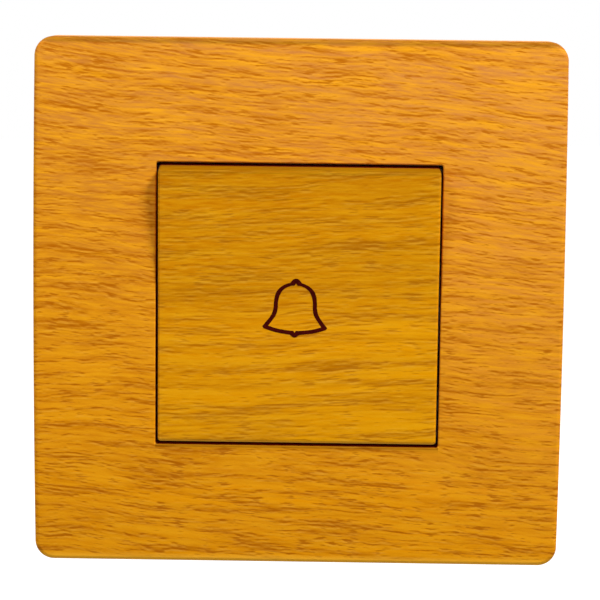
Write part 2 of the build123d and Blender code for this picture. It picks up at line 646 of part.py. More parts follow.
def module_base():
    base = base_shell()
    for piece in (terminal_chamber(), contact_shelf()):
        base += piece
        base += mirrored(piece)
    pocket_front = SPRING_BACK + SPRING_POCKET_DEPTH
    pocket_radius = SPRING_BOSS_RADIUS - SPRING_BOSS_WALL
    base += rod(SPRING_BOSS_RADIUS, 0, NOSE_REACH, BASE_FLOOR_FRONT - SINK, pocket_front)
    base -= rod(pocket_radius, 0, NOSE_REACH, SPRING_BACK, pocket_front + OVERRUN)
    base -= rod(STEM_RADIUS + STEM_SLIP_GAP, 0, NOSE_REACH, BASE_FLOOR_FRONT, SPRING_BACK + OVERRUN)
    pilot_back = LID_FRONT - LID_SCREW_LENGTH - OVERRUN
    for z in (LID_SCREW_UPPER_Z, LID_SCREW_LOWER_Z):
        base += rod(LID_SCREW_BOSS_RADIUS, 0, z, BASE_FLOOR_FRONT - SINK, LID_BACK)
        base -= rod(LID_SCREW_RADIUS + SCREW_GAP, 0, z, pilot_back, LID_BACK + OVERRUN)
    for side in SIDES:
        x = side * TERMINAL_X
        base -= rod(DRIVER_HOLE_RADIUS, x, TERMINAL_Z, -BASE_DEPTH - OVERRUN, TERMINAL_BACK + SINK)
        entry_top = TERMINAL_Z - TERMINAL_LENGTH / 2
        base -= rod_upright(WIRE_ENTRY_RADIUS, x, WIRE_HEIGHT, -BASE_LENGTH / 2 - OVERRUN, entry_top)
    groove_z = TERMINAL_Z + TERMINAL_LENGTH / 2 + DRIVER_HOLE_RADIUS
    groove = Pos(0, groove_z) * SlotOverall(BACK_GROOVE_LENGTH, BACK_GROOVE_WIDTH)
    base -= prism(groove, -BASE_DEPTH - OVERRUN, -BASE_DEPTH + BACK_GROOVE_DEPTH)
    return base


# Lid

def pin_lug():
    """The upright ear at the right that holds one end of the pin, tapering from a wide foot."""
    inner_x = lug_inner_x()
    foot = LID_FRONT - SINK
    outline = make_hull(
        [
            *(Pos(-PIVOT_HEIGHT, 0) * Circle(LUG_RADIUS)).edges(),
            *Line((-foot, -LUG_FOOT / 2), (-foot, LUG_FOOT / 2)).edges(),
        ]
    )
    lug = extrude(Plane.YZ.offset(inner_x) * outline, LUG_THICKNESS)
    bore_end = inner_x + LUG_THICKNESS + OVERRUN
    return lug - rod_across(PIN_RADIUS + PIN_SEAT_GAP, inner_x - OVERRUN, bore_end, PIVOT_HEIGHT, 0)


def stop_pads():
    """Four pads that the dolly's bars come down on at either end of its travel."""
    drop = (STOP_REACH + STOP_WIDTH / 2) * math.sin(math.radians(REST_TILT))
    level = PIVOT_HEIGHT - (PIVOT_HEIGHT - DOLLY_BACK) * math.cos(math.radians(REST_TILT))
    top = level - drop - STOP_GAP
    half_length = STOP_LENGTH / 2
    half_width = STOP_WIDTH / 2
    return [
        bar(x * STOP_SPREAD - half_length, x * STOP_SPREAD + half_length,
            z * STOP_REACH - half_width, z * STOP_REACH + half_width, LID_FRONT - SINK, top)
        for x, z in CORNERS
    ]


def hold_post_spots():
    """Where the lid's posts press the two strips down."""
    arm_x = STRIP_OUTER_X - STRIP_LEG_WIDTH / 2
    return [(side * x, z) for side in SIDES for x, z in ((arm_x, NOSE_REACH), (TERMINAL_X, TERMINAL_Z))]


def module_cover():
    width = MOUTH_WIDTH - 2 * LID_CLEARANCE
    length = MOUTH_LENGTH - 2 * LID_CLEARANCE
    lid = prism(RectangleRounded(width, length, MOUTH_CORNER), LID_BACK, LID_FRONT)
    bore_radius = PLUNGER_RADIUS + PLUNGER_RUNNING_GAP
    lid += rod(bore_radius + BUSH_WALL, 0, NOSE_REACH, BUSH_BACK, LID_FRONT)
    lid -= rod(bore_radius, 0, NOSE_REACH, BUSH_BACK - OVERRUN, LID_FRONT + OVERRUN)
    lug = pin_lug()
    lid += lug
    lid += mirrored(lug)
    for pad in stop_pads():
        lid += pad
    for x, z in hold_post_spots():
        lid += rod(HOLD_POST_RADIUS, x, z, STRIP_FRONT, LID_BACK + SINK)
    for z in (LID_SCREW_UPPER_Z, LID_SCREW_LOWER_Z):
        lid -= rod(LID_SCREW_RADIUS + SCREW_PASS_GAP, 0, z, LID_BACK - OVERRUN, LID_FRONT + OVERRUN)
        lid -= Pos(0, 0, z) * countersink(SCREW_GAP)
    return lid


def countersink(gap):
    """The cone of a lid screw's head, level with the lid's front, widened by a gap."""
    small = LID_SCREW_RADIUS + gap
    large = LID_SCREW_HEAD_RADIUS + gap
    back = LID_FRONT - LID_SCREW_HEAD
    return turned([(0, back), (small, back), (large, LID_FRONT), (0, LID_FRONT)])


# Plunger group

def plunger():
    body = turned(
        [
            (0, PLUNGER_FRONT),
            (PLUNGER_RADIUS - PLUNGER_ROUNDING, PLUNGER_FRONT),
            (PLUNGER_RADIUS, PLUNGER_FRONT - PLUNGER_ROUNDING),
            (PLUNGER_RADIUS, PLUNGER_SHOULDER),
            (PLUNGER_FLANGE_RADIUS, PLUNGER_SHOULDER),
            (PLUNGER_FLANGE_RADIUS, BRIDGE_FRONT),
            (STEM_RADIUS, BRIDGE_FRONT),
            (STEM_RADIUS, STEM_BACK + PLUNGER_ROUNDING),
            (STEM_RADIUS - PLUNGER_ROUNDING, STEM_BACK),
            (0, STEM_BACK),
        ]
    )
    return Pos(0, 0, NOSE_REACH) * body


def contact_bridge():
    outline = SlotOverall(BRIDGE_LENGTH, BRIDGE_WIDTH) + Circle(BRIDGE_CENTRE_RADIUS)
    outline -= Circle(STEM_RADIUS + STEM_SLIP_GAP)
    for side in SIDES:
        outline -= Pos(side * CONTACT_SPREAD, 0) * Circle(RIVET_SHANK_RADIUS + RIVET_SEAT_GAP)
    return prism(Pos(0, NOSE_REACH) * outline, BRIDGE_BACK, BRIDGE_FRONT)


def rivet(seat, clench_seat, towards):
    """One rivet: a domed head on its seat, and the clenched end on the far side of the metal.
    The head points to the front or to the back."""
    head = seat + towards * RIVET_HEAD
    edge = seat + towards * RIVET_HEAD / 2
    clench = clench_seat - towards * RIVET_CLENCH
    return turned(
        [
            (0, head),
            (RIVET_HEAD_RADIUS * RIVET_DOME_SHARE, head),
            (RIVET_HEAD_RADIUS, edge),
            (RIVET_HEAD_RADIUS, seat),
            (RIVET_SHANK_RADIUS, seat),
            (RIVET_SHANK_RADIUS, clench_seat),
            (RIVET_CLENCH_RADIUS, clench_seat),
            (RIVET_CLENCH_RADIUS, clench),
            (0, clench),
        ]
    )


def rivet_pair(seat, clench_seat, towards):
    one = rivet(seat, clench_seat, towards)
    return Compound([Pos(side * CONTACT_SPREAD, 0, NOSE_REACH) * one for side in SIDES])


def moving_contacts():
    return rivet_pair(BRIDGE_BACK, BRIDGE_FRONT, -1)


def fixed_rivets():
    return rivet_pair(STRIP_FRONT, STRIP_BACK, 1)


def spring_cup():
    hole = STEM_RADIUS + STEM_SLIP_GAP
    rim_back = BRIDGE_BACK - CUP_RIM
    cup = turned(
        [
            (hole, BRIDGE_BACK),
            (CUP_RADIUS, BRIDGE_BACK),
            (CUP_RADIUS, rim_back),
            (CUP_RADIUS - CUP_WALL, rim_back),
            (CUP_RADIUS - CUP_WALL, SPRING_FRONT),
            (hole, SPRING_FRONT),
        ]
    )
    return Pos(0, 0, NOSE_REACH) * cup


def spring_point(turns, first_height, pitch):
    """A point of the coil's centre line and the way that it runs there, after a number of turns."""
    angle = 2 * math.pi * turns
    across = SPRING_RADIUS * math.cos(angle)
    up = SPRING_RADIUS * math.sin(angle)
    point = Vector(across, pitch * turns - first_height, up)
    rise = pitch / (2 * math.pi)
    way = Vector(-SPRING_RADIUS * math.sin(angle), rise, SPRING_RADIUS * math.cos(angle))
    return point, way.normalized()


def half_turn(start, start_way, end, end_way):
    """Two arcs that leave one point of the coil and reach the next without a corner."""
    chord = end - start
    spread = 2 * (1 - start_way.dot(end_way))
    along = 2 * chord.dot(start_way + end_way)
    reach = (math.sqrt(along**2 + 4 * spread * chord.dot(chord)) - along) / (2 * spread)
    join = (start + end + (start_way - end_way) * reach) * 0.5
    join_way = (end - end_way * reach) - (start + start_way * reach)
    first = TangentArc(start, join, tangent=start_way)
    second = TangentArc(join, end, tangent=join_way.normalized())
    return first, second


def spring_wire(first_height, pitch):
    edges = []
    for step in range(2 * SPRING_TURNS):
        start, start_way = spring_point(step / 2, first_height, pitch)
        end, end_way = spring_point((step + 1) / 2, first_height, pitch)
        for arc in half_turn(start, start_way, end, end_way):
            edges += arc.edges()
    return Wire(edges)


def spring_gap(first_height, pitch):
    """The least gap between two turns, measured on points half a turn or more apart."""
    count = SPRING_TURNS * POINTS_PER_TURN
    points = [spring_point(n / POINTS_PER_TURN, first_height, pitch)[0] for n in range(count + 1)]
    apart = POINTS_PER_TURN // 2
    pairs = [(points[n], points[m]) for n in range(count) for m in range(n + apart, count + 1)]
    return min((one - other).length for one, other in pairs) - 2 * SPRING_WIRE_RADIUS


def return_spring():
    inset = SPRING_WIRE_RADIUS + SPRING_END_GAP
    first_height = SPRING_FRONT - inset
    pitch = (first_height - SPRING_BACK - inset) / SPRING_TURNS
    start, start_way = spring_point(0, first_height, pitch)
    section = Plane(origin=start, z_dir=start_way) * RegularPolygon(SPRING_WIRE_RADIUS, SPRING_WIRE_SIDES)
    coil = sweep(section, path=spring_wire(first_height, pitch))
    print("spring: least gap between turns", round(spring_gap(first_height, pitch), 2), "mm")
    return Pos(0, 0, NOSE_REACH) * coil


# Fixed contacts and terminals

def fixed_contact():
    """The right strip: an arm under the bridge, a leg down the side and a foot on the terminal."""
    arm_low = NOSE_REACH - STRIP_ARM_WIDTH / 2
    arm_high = NOSE_REACH + STRIP_ARM_WIDTH / 2
    foot_from = TERMINAL_X - TERMINAL_WIDTH / 2
    foot_low = TERMINAL_Z - TERMINAL_LENGTH / 2
    foot_high = TERMINAL_Z + TERMINAL_LENGTH / 2
    leg_from = STRIP_OUTER_X - STRIP_LEG_WIDTH
    outline = Polyline(
        (STRIP_INNER_X, arm_low),
        (leg_from, arm_low),
        (leg_from, foot_high),
        (foot_from, foot_high),
        (foot_from, foot_low),
        (STRIP_OUTER_X, foot_low),
        (STRIP_OUTER_X, arm_high),
        (STRIP_INNER_X, arm_high),
        close=True,
    )
    strip = make_face(outline)
    strip = fillet(strip.vertices(), STRIP_CORNER)
    strip -= Pos(CONTACT_SPREAD, NOSE_REACH) * Circle(RIVET_SHANK_RADIUS + RIVET_SEAT_GAP)
    strip -= Pos(TERMINAL_X, TERMINAL_Z) * Circle(SPIGOT_RADIUS + SPIGOT_GAP)
    return prism(strip, STRIP_BACK, STRIP_FRONT)


def terminal():
    """The right terminal block, with a spigot through the strip, a wire bore and a screw hole."""
    half_width = TERMINAL_WIDTH / 2
    half_length = TERMINAL_LENGTH / 2
    low_z = TERMINAL_Z - half_length
    high_z = TERMINAL_Z + half_length
    block = bar(TERMINAL_X - half_width, TERMINAL_X + half_width, low_z, high_z, TERMINAL_BACK, STRIP_BACK)
    block = block.chamfer(TERMINAL_CHAMFER, None, block.edges().filter_by(Axis.Y))
    block += rod(SPIGOT_RADIUS, TERMINAL_X, TERMINAL_Z, STRIP_BACK - SINK, STRIP_FRONT)
    block -= rod_upright(WIRE_BORE_RADIUS, TERMINAL_X, WIRE_HEIGHT, low_z - OVERRUN, high_z + OVERRUN)
    screw_hole = TERMINAL_SCREW_RADIUS + SCREW_GAP
    block -= rod(screw_hole, TERMINAL_X, TERMINAL_Z, TERMINAL_BACK - OVERRUN, WIRE_HEIGHT)
    return block


# Screws

def cross_recess(radius, front, back):
    """The cross in a screw's head, cut from its front height to its back height."""
    reach = radius * RECESS_SHARE
    arms = Rectangle(2 * reach, RECESS_WIDTH) + Rectangle(RECESS_WIDTH, 2 * reach)
    return prism(arms, *sorted((front, back)))


def terminal_screw():
    """A screw whose head faces the back, wound out far enough to leave the wire bore free."""
    under_head = TERMINAL_BACK - TERMINAL_SCREW_BACKED_OFF
    back = under_head - TERMINAL_SCREW_HEAD
    rim = TERMINAL_SCREW_HEAD_RADIUS - TERMINAL_CHAMFER
    body = turned(
        [
            (0, SCREW_TIP),
            (TERMINAL_SCREW_RADIUS - TERMINAL_CHAMFER, SCREW_TIP),
            (TERMINAL_SCREW_RADIUS, SCREW_TIP - TERMINAL_CHAMFER),
            (TERMINAL_SCREW_RADIUS, under_head),
            (TERMINAL_SCREW_HEAD_RADIUS, under_head),
            (TERMINAL_SCREW_HEAD_RADIUS, back + TERMINAL_CHAMFER),
            (rim, back),
            (0, back),
        ]
    )
    return body - cross_recess(TERMINAL_SCREW_HEAD_RADIUS, back - OVERRUN, back + RECESS_DEPTH)


def terminal_screws():
    one = terminal_screw()
    return Compound([Pos(side * TERMINAL_X, 0, TERMINAL_Z) * one for side in SIDES])


def module_screw():
    front = FLANGE_FRONT + MODULE_SCREW_HEAD
    tip = FLANGE_FRONT - MODULE_SCREW_LENGTH
    body = turned(
        [
            (0, front),
            (MODULE_SCREW_HEAD_RADIUS - MODULE_SCREW_HEAD / 2, front),
            (MODULE_SCREW_HEAD_RADIUS, front - MODULE_SCREW_HEAD / 2),
            (MODULE_SCREW_HEAD_RADIUS, FLANGE_FRONT),
            (MODULE_SCREW_RADIUS, FLANGE_FRONT),
            (MODULE_SCREW_RADIUS, tip + MODULE_SCREW_RADIUS),
            (0, tip),
        ]
    )
    return body - cross_recess(MODULE_SCREW_HEAD_RADIUS, front - RECESS_DEPTH, front + OVERRUN)


def module_screws():
    one = module_screw()
    return Compound([Pos(x * MODULE_SCREW_X, 0, z * MODULE_SCREW_Z) * one for x, z in CORNERS])


def lid_screw():
    tip = LID_FRONT - LID_SCREW_LENGTH
    shank = turned([(0, LID_BACK), (LID_SCREW_RADIUS, LID_BACK), (LID_SCREW_RADIUS, tip + SINK), (0, tip)])
    neck = turned([(0, LID_FRONT - SINK), (LID_SCREW_RADIUS, LID_FRONT - SINK),
                   (LID_SCREW_RADIUS, LID_BACK - SINK), (0, LID_BACK - SINK)])
    body = shank + neck + countersink(0)
    return body - cross_recess(LID_SCREW_HEAD_RADIUS, LID_FRONT - RECESS_DEPTH, LID_FRONT + OVERRUN)


def cover_screws():
    one = lid_screw()
    return Compound([Pos(0, 0, z) * one for z in (LID_SCREW_UPPER_Z, LID_SCREW_LOWER_Z)])


right_contact = fixed_contact()
right_terminal = terminal()

pieces = {
    "cover_frame": cover_frame(),
    "rocker_key": rocker_key(),
    "rocker_dolly": rocker_dolly(),
    "pivot_pin": pivot_pin(),
    "mounting_plate": mounting_plate(),
    "module_base": module_base(),
    "module_cover": module_cover(),
    "plunger": plunger(),
    "contact_bridge": contact_bridge(),
    "moving_contacts": moving_contacts(),
    "spring_cup": spring_cup(),
    "return_spring": return_spring(),
    "fixed_contact_right": right_contact,
    "fixed_contact_left": mirrored(right_contact),
    "fixed_rivets": fixed_rivets(),
    "terminal_right": right_terminal,
    "terminal_left": mirrored(right_terminal),
    "terminal_screws": terminal_screws(),
    "module_screws": module_screws(),
    "cover_screws": cover_screws(),
}

os.makedirs("parts", exist_ok=True)
for name, shape in pieces.items():
    export_step(shape, f"parts/{name}.step")
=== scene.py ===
# %% [markdown]
# A doorbell switch with a wood-effect face.
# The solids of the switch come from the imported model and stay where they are. This lesson gives
# them their finishes, adds the printed bell sign, and sets the light and the camera.
# Lengths in Blender are metres. Sizes in this script are written in millimetres and scaled by MM.

# %% Load the solids
import math

import bpy
from mathutils import Matrix, Vector


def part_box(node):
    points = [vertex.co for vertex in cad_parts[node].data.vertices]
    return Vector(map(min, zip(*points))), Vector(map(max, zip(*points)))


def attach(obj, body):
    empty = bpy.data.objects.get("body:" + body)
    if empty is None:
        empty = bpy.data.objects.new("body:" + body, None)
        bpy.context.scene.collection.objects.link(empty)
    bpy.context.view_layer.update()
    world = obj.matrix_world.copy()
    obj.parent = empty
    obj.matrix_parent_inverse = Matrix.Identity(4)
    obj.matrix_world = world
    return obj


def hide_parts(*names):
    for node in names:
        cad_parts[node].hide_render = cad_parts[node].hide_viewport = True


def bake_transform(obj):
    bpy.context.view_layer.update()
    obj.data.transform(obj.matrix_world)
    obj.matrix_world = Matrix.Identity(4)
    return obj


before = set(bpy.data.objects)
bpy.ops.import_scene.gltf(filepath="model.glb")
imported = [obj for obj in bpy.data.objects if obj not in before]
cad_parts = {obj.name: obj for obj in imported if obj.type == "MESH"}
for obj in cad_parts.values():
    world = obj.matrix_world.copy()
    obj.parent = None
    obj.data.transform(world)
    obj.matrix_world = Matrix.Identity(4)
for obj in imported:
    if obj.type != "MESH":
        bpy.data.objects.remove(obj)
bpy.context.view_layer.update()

MM = 0.001

# %% [markdown]
# Colours are given as sRGB hex values, the way a screen shows them, but a shader works on linear
# light. One function does the turning for the whole script.
# A second small function adds a shader node, sets its properties and either sets or links its
# inputs, and gives back the output that the next node needs. Sockets go by name where the name is
# plain, and by number elsewhere. In a Map Range node 0 is the value, 1 and 2 are the limits that
# it comes from, and 3 and 4 are those that it is turned to, which are 0 and 1 if left out. In a
# Mix node of two colours 0 is the amount, 6 and 7 are the colours, and output 2 is their mix.

# %% Helpers for materials
TWO_COLOURS = dict(output=2, data_type="RGBA")


def linear(hex_colour):
    """An sRGB hex colour as linear red, green, blue and alpha."""
    channels = [int(hex_colour[n:n + 2], 16) / 255 for n in (1, 3, 5)]
    return [c / 12.92 if c <= 0.04045 else ((c + 0.055) / 1.055) ** 2.4 for c in channels] + [1.0]


def add(tree, kind, inputs=(), output=0, **settings):
    """Adds a node. Inputs map a socket's name or number to a value or another node's output."""
    made = tree.nodes.new("ShaderNode" + kind)
    for name, value in settings.items():
        setattr(made, name, value)
    for name, value in dict(inputs).items():
        if isinstance(value, bpy.types.NodeSocket):
            tree.links.new(value, made.inputs[name])
        else:
            made.inputs[name].default_value = value
    return made.outputs[output] if len(made.outputs) else made


def new_material(name):
    """An empty node material."""
    material = bpy.data.materials.new(name)
    material.use_nodes = True
    material.node_tree.nodes.clear()
    return material


def wear(node_name, material):
    """Gives a solid its finish."""
    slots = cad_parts[node_name].data.materials
    slots.clear()
    slots.append(material)


print("the middle grey #808080 is", round(linear("#808080")[0], 3), "in linear light")

# %% [markdown]
# The face is a printed wood film, heat-pressed over moulded plastic and left satin. The print
# shows golden oak: long soft bands and short dark pores, with a painted highlight beside each
# pore. The grain runs across the switch. On the cover frame it falls a little to the right in the
# upper half, and on the key it rises a little to the right.
# A picture of wood could be wrapped round the pieces. Noise that is drawn out along the grain
# needs no picture and stays sharp from near, and its marks are matched in size, strength and lie.
# The film is drawn as a flat sheet in millimetres, u along the grain and v across it. At the
# outer edge the film folds back over the side, so u and v run on by the depth behind the front.
# The front is an arch over the height of the switch. The key's upper half stands proud of that
# arch by the slope of its travel.

# %% Depth behind the arched front
FRAME_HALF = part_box("cover_frame")[1].x / MM
KEY_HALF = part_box("rocker_key")[1].x / MM
CROWN = -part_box("cover_frame")[0].y / MM
ARCH_RADIUS = 357.0


def depth_behind_front(tree, y, z, look):
    """How far a point lies behind the front of its piece, in millimetres."""
    arch = add(tree, "Math", {0: z, 1: z}, operation="MULTIPLY")
    fall = -1 / (2 * ARCH_RADIUS)
    arch = add(tree, "Math", {0: arch, 1: fall, 2: CROWN}, operation="MULTIPLY_ADD")
    above = add(tree, "Math", {0: z, 1: 0.0}, operation="MAXIMUM")
    slope = look["upper_slope"]
    front = add(tree, "Math", {0: above, 1: slope, 2: arch}, operation="MULTIPLY_ADD")
    depth = add(tree, "Math", {0: y, 1: front}, operation="ADD")
    return add(tree, "Math", {0: depth, 1: 0.0}, operation="MAXIMUM")


print("frame half width", round(FRAME_HALF, 2), "crown", round(CROWN, 2))

# %% Where a point lies on the film
FILM_FOLD = 2.0


def film_place(tree, look):
    """Where a shaded point lies on the object and on the film, in millimetres."""
    place = add(tree, "TexCoord", output="Object")
    place = add(tree, "VectorMath", {0: place, "Scale": 1 / MM}, operation="SCALE")
    x, y, z = add(tree, "SeparateXYZ", {0: place}).node.outputs
    depth = depth_behind_front(tree, y, z, look)

    # the film runs on round the outer edge
    half = look["half_size"]
    across = add(tree, "Math", {0: x}, operation="ABSOLUTE")
    upright = add(tree, "Math", {0: z}, operation="ABSOLUTE")
    limits = {1: half - FILM_FOLD, 2: half, 3: 0.0, 4: 1 / half}
    fold_u = add(tree, "MapRange", {0: across, **limits})
    fold_v = add(tree, "MapRange", {0: upright, **limits})
    fold_u = add(tree, "Math", {0: fold_u, 1: depth, 2: 1.0}, operation="MULTIPLY_ADD")
    fold_v = add(tree, "Math", {0: fold_v, 1: depth, 2: 1.0}, operation="MULTIPLY_ADD")
    u = add(tree, "Math", {0: x, 1: fold_u}, operation="MULTIPLY")
    v = add(tree, "Math", {0: z, 1: fold_v}, operation="MULTIPLY")
    return dict(z=z, depth=depth, across=across, upright=upright, u=u, v=v)


# %% [markdown]
# Wood never grows straight. The grain's slope changes from the bottom of a piece to its top, and
# slow waves of three sizes bend it. After that every mark of the print is the same noise, only
# longer or shorter, so one function draws them all.

# %% The lie of the grain, and streaks along it
STREAK_ROUGHNESS = 0.55


def lie_of_grain(tree, film, look):
    """Bends v, so that lines of equal v run as the grain does, and adds the point on the grain."""
    half = look["half_size"]
    limits = {1: -half, 2: half, 3: look["slope_low"], 4: look["slope_high"]}
    slope = add(tree, "MapRange", {0: film["v"], **limits})
    v = add(tree, "Math", {0: film["u"], 1: slope, 2: film["v"]}, operation="MULTIPLY_ADD")
    flat = add(tree, "CombineXYZ", {0: film["u"], 1: v, 2: look["seed"]})
    for length, height, reach in look["waves"]:
        scale = (1 / length, 1 / height, 1)
        stretched = add(tree, "VectorMath", {0: flat, 1: scale}, operation="MULTIPLY")
        wave = add(tree, "TexNoise", {"Vector": stretched, "Scale": 1.0, "Detail": 1.0})
        v = add(tree, "Math", {0: wave, 1: reach, 2: v}, operation="MULTIPLY_ADD")
    film["v"] = v
    film["grain"] = add(tree, "CombineXYZ", {0: film["u"], 1: v, 2: look["seed"]})


def streaks(tree, film, size, detail=2.0, shift=0.0):
    """Noise drawn out along the grain. Size is a streak's length and width in millimetres."""
    length, width = size
    moved = add(tree, "VectorMath", {0: film["grain"], 1: (0, shift, 0)}, operation="ADD")
    scale = (1 / length, 1 / width, 1)
    drawn = add(tree, "VectorMath", {0: moved, 1: scale}, operation="MULTIPLY")
    inputs = {"Vector": drawn, "Scale": 1.0, "Detail": detail, "Roughness": STREAK_ROUGHNESS}
    return add(tree, "TexNoise", inputs)


# %% [markdown]
# The ground of the print comes first. Its colour drifts from one corner to the other, with broad
# bands in it, a pinker tone towards the upper right, long thin lines and short fine fibres. The
# bands, lines and fibres are the grain. The drift under the bands is painted shade, darker towards
# the top and the left. The pinker tone is a painted sheen of the upper right lamp. Noise lies
# mostly between 0.3 and 0.7. A range says where in it a mark starts to show, and where it shows in
# full.

# %% Bands, lines and fibres
BAND_SIZE = (70, 6)
LINE_SIZE = (40, 1.6)
FIBRE_SIZE = (4, 0.5)
BAND_DETAIL = 1.0
FIBRE_DETAIL = 4.0
BAND_REACH = 0.8
BAND_RANGE = {1: 0.15, 2: 1.25}
LINE_RANGE = {1: 0.42, 2: 0.7}
FIBRE_RANGE = {1: 0.38, 2: 0.66}
SHADE_DRIFT_SPAN = {3: -0.2, 4: 0.8}
# the painted sheen leans to the side, and starts and ends at these shares of half the piece
SHEEN_LEAN = 0.5
SHEEN_START = -0.45
SHEEN_END = 1.4


def printed_ground(tree, film, look):
    """The colour of the print before its pores, with painted shade and a painted sheen in it."""
    u, v, half = film["u"], film["v"], look["half_size"]
    # painted shade: the ground is darker towards the top and the left
    shade_drift = add(tree, "Math", {0: u, 1: look["shade_drift_lean"], 2: v}, operation="MULTIPLY_ADD")
    shade_drift = add(tree, "MapRange", {0: shade_drift, 1: -half, 2: half, **SHADE_DRIFT_SPAN}, clamp=False)
    band = streaks(tree, film, BAND_SIZE, BAND_DETAIL)
    band = add(tree, "Math", {0: band, 1: BAND_REACH, 2: shade_drift}, operation="MULTIPLY_ADD")
    band = add(tree, "MapRange", {0: band, **BAND_RANGE})
    colour = add(tree, "Mix", {0: band, 6: look["gold"], 7: look["warm"]}, **TWO_COLOURS)

    # painted sheen: a pinker tone towards the upper right, where the upper right lamp's sheen
    # falls
    corner = add(tree, "Math", {0: u, 1: SHEEN_LEAN, 2: v}, operation="MULTIPLY_ADD")
    limits = {1: SHEEN_START * half, 2: SHEEN_END * half}
    painted_sheen = add(tree, "MapRange", {0: corner, **limits, 4: look["painted_sheen_strength"]})
    colour = add(tree, "Mix", {0: painted_sheen, 6: colour, 7: look["painted_sheen"]}, **TWO_COLOURS)

    line = streaks(tree, film, LINE_SIZE)
    line = add(tree, "MapRange", {0: line, **LINE_RANGE, 4: look["line_strength"]})
    colour = add(tree, "Mix", {0: line, 6: colour, 7: look["line"]}, **TWO_COLOURS)
    fibre = streaks(tree, film, FIBRE_SIZE, FIBRE_DETAIL)
    fibre = add(tree, "MapRange", {0: fibre, **FIBRE_RANGE, 4: look["fibre_strength"]})
    return add(tree, "Mix", {0: fibre, 6: colour, 7: look["fibre"]}, **TWO_COLOURS)


print("bands", BAND_SIZE, "lines", LINE_SIZE, "fibres", FIBRE_SIZE, "mm")

# %% [markdown]
# Oak is known by its pores, short dark dashes that crowd together in stripes of open grain. The
# stripes themselves are a little darker, and others between them are paler. Each pore has a
# painted highlight on its lower side, where the edge of a pressed-in pore would catch the light
# from above. The highlight is the same noise as the pore, moved by about a pore's width.

# %% Stripes of open grain, the pores in them, and the pores' painted highlights
STRIPE_DETAIL = 3.0
DARK_SHIFT = 20
PALE_SHIFT = 70
DARK_RANGE = {1: 0.46, 2: 0.68}
PALE_RANGE = {1: 0.48, 2: 0.7}
CROWDING = {1: 0.38, 2: 0.6, 3: 0.09, 4: -0.06}
PORE_RANGE = {1: 0.53, 2: 0.66}
PORE_HIGHLIGHT_RANGE = {1: 0.5, 2: 0.72}
PORE_HIGHLIGHT_SHIFT = 1.1


def printed_pores(tree, film, look, colour):
    """Adds stripes, pores and the pores' painted highlights to the print, and says where the pores
    are.
    """
    stripe = streaks(tree, film, look["stripe_size"], STRIPE_DETAIL, DARK_SHIFT)
    dark = add(tree, "MapRange", {0: stripe, **DARK_RANGE, 4: look["stripe_strength"]})
    colour = add(tree, "Mix", {0: dark, 6: colour, 7: look["pore"]}, **TWO_COLOURS)
    pale = streaks(tree, film, look["stripe_size"], STRIPE_DETAIL, PALE_SHIFT)
    pale = add(tree, "MapRange", {0: pale, **PALE_RANGE, 4: look["stripe_strength"]})
    colour = add(tree, "Mix", {0: pale, 6: colour, 7: look["fibre"]}, **TWO_COLOURS)

    room = add(tree, "MapRange", {0: stripe, **CROWDING})
    pore_width = look["pore_size"][1]
    pore = streaks(tree, film, look["pore_size"])
    pore = add(tree, "Math", {0: pore, 1: room}, operation="SUBTRACT")
    pore = add(tree, "MapRange", {0: pore, **PORE_RANGE})
    # painted highlight on the lower side of each pore
    pore_highlight = streaks(tree, film, look["pore_size"], shift=pore_width * PORE_HIGHLIGHT_SHIFT)
    pore_highlight = add(tree, "Math", {0: pore_highlight, 1: room}, operation="SUBTRACT")
    pore_highlight = add(tree, "MapRange", {0: pore_highlight, **PORE_HIGHLIGHT_RANGE})
    light = add(tree, "Math", {0: pore_highlight, 1: look["pore_highlight_strength"]}, operation="MULTIPLY")
    colour = add(tree, "Mix", {0: light, 6: colour, 7: look["pore_highlight"]}, **TWO_COLOURS)
    dark = add(tree, "Math", {0: pore, 1: look["pore_strength"]}, operation="MULTIPLY")
    colour = add(tree, "Mix", {0: dark, 6: colour, 7: look["pore"]}, **TWO_COLOURS)
    return colour, pore


# %% [markdown]
# Painted shade and painted highlights, in bands across the piece near its top, its bottom and the
# window. The film's colour is darkened on edges that face up to the lamps, over the key's upper
# part, above the key's lower edge and below the window. It is made paler on the lower edges, which
# face away from the lamps.

# %% Painted shade and highlights along the edges
EDGE_LIGHT_FADE = 0.5


def paint_edge_light(tree, film, look, colour):
    """Paints shade and highlights on the film along its edges.

    Each row gives the height where the paint starts and where it is full, the height that it stays
    below, how far to the sides it goes, its strength and its colour.
    """
    limits = {1: EDGE_LIGHT_FADE * look["edge_light_depth"], 2: look["edge_light_depth"], 3: 1.0, 4: 0.0}
    at_front = add(tree, "MapRange", {0: film["depth"], **limits})
    for start, full, top, side, strength, tint in look["edge_light_rows"]:
        painted_light = add(tree, "MapRange", {0: film["z"], 1: start, 2: full, 4: strength})
        painted_light = add(tree, "Math", {0: painted_light, 1: at_front}, operation="MULTIPLY")
        below = add(tree, "Math", {0: film["z"], 1: top}, operation="LESS_THAN")
        beside = add(tree, "Math", {0: film["across"], 1: side}, operation="LESS_THAN")
        painted_light = add(tree, "Math", {0: painted_light, 1: below}, operation="MULTIPLY")
        painted_light = add(tree, "Math", {0: painted_light, 1: beside}, operation="MULTIPLY")
        colour = add(tree, "Mix", {0: painted_light, 6: colour, 7: tint}, **TWO_COLOURS)
    return colour


# %% [markdown]
# The film covers the front and the outer sides. Inside the window and behind the skin the bare
# plastic shows, a deep maroon brown. The walls of the narrow gap round the key are painted a
# little redder than that plastic, as painted light: hardly any light gets in there, and the redder
# walls leave some maroon in a line that is nearly black. A brighter wall would match the
# photograph's maroon line, but would look like fresh red paint when the cover is lifted off.

# %% Film on the outside, bare plastic behind
BARE_PLASTIC = linear("#8c2e1a")
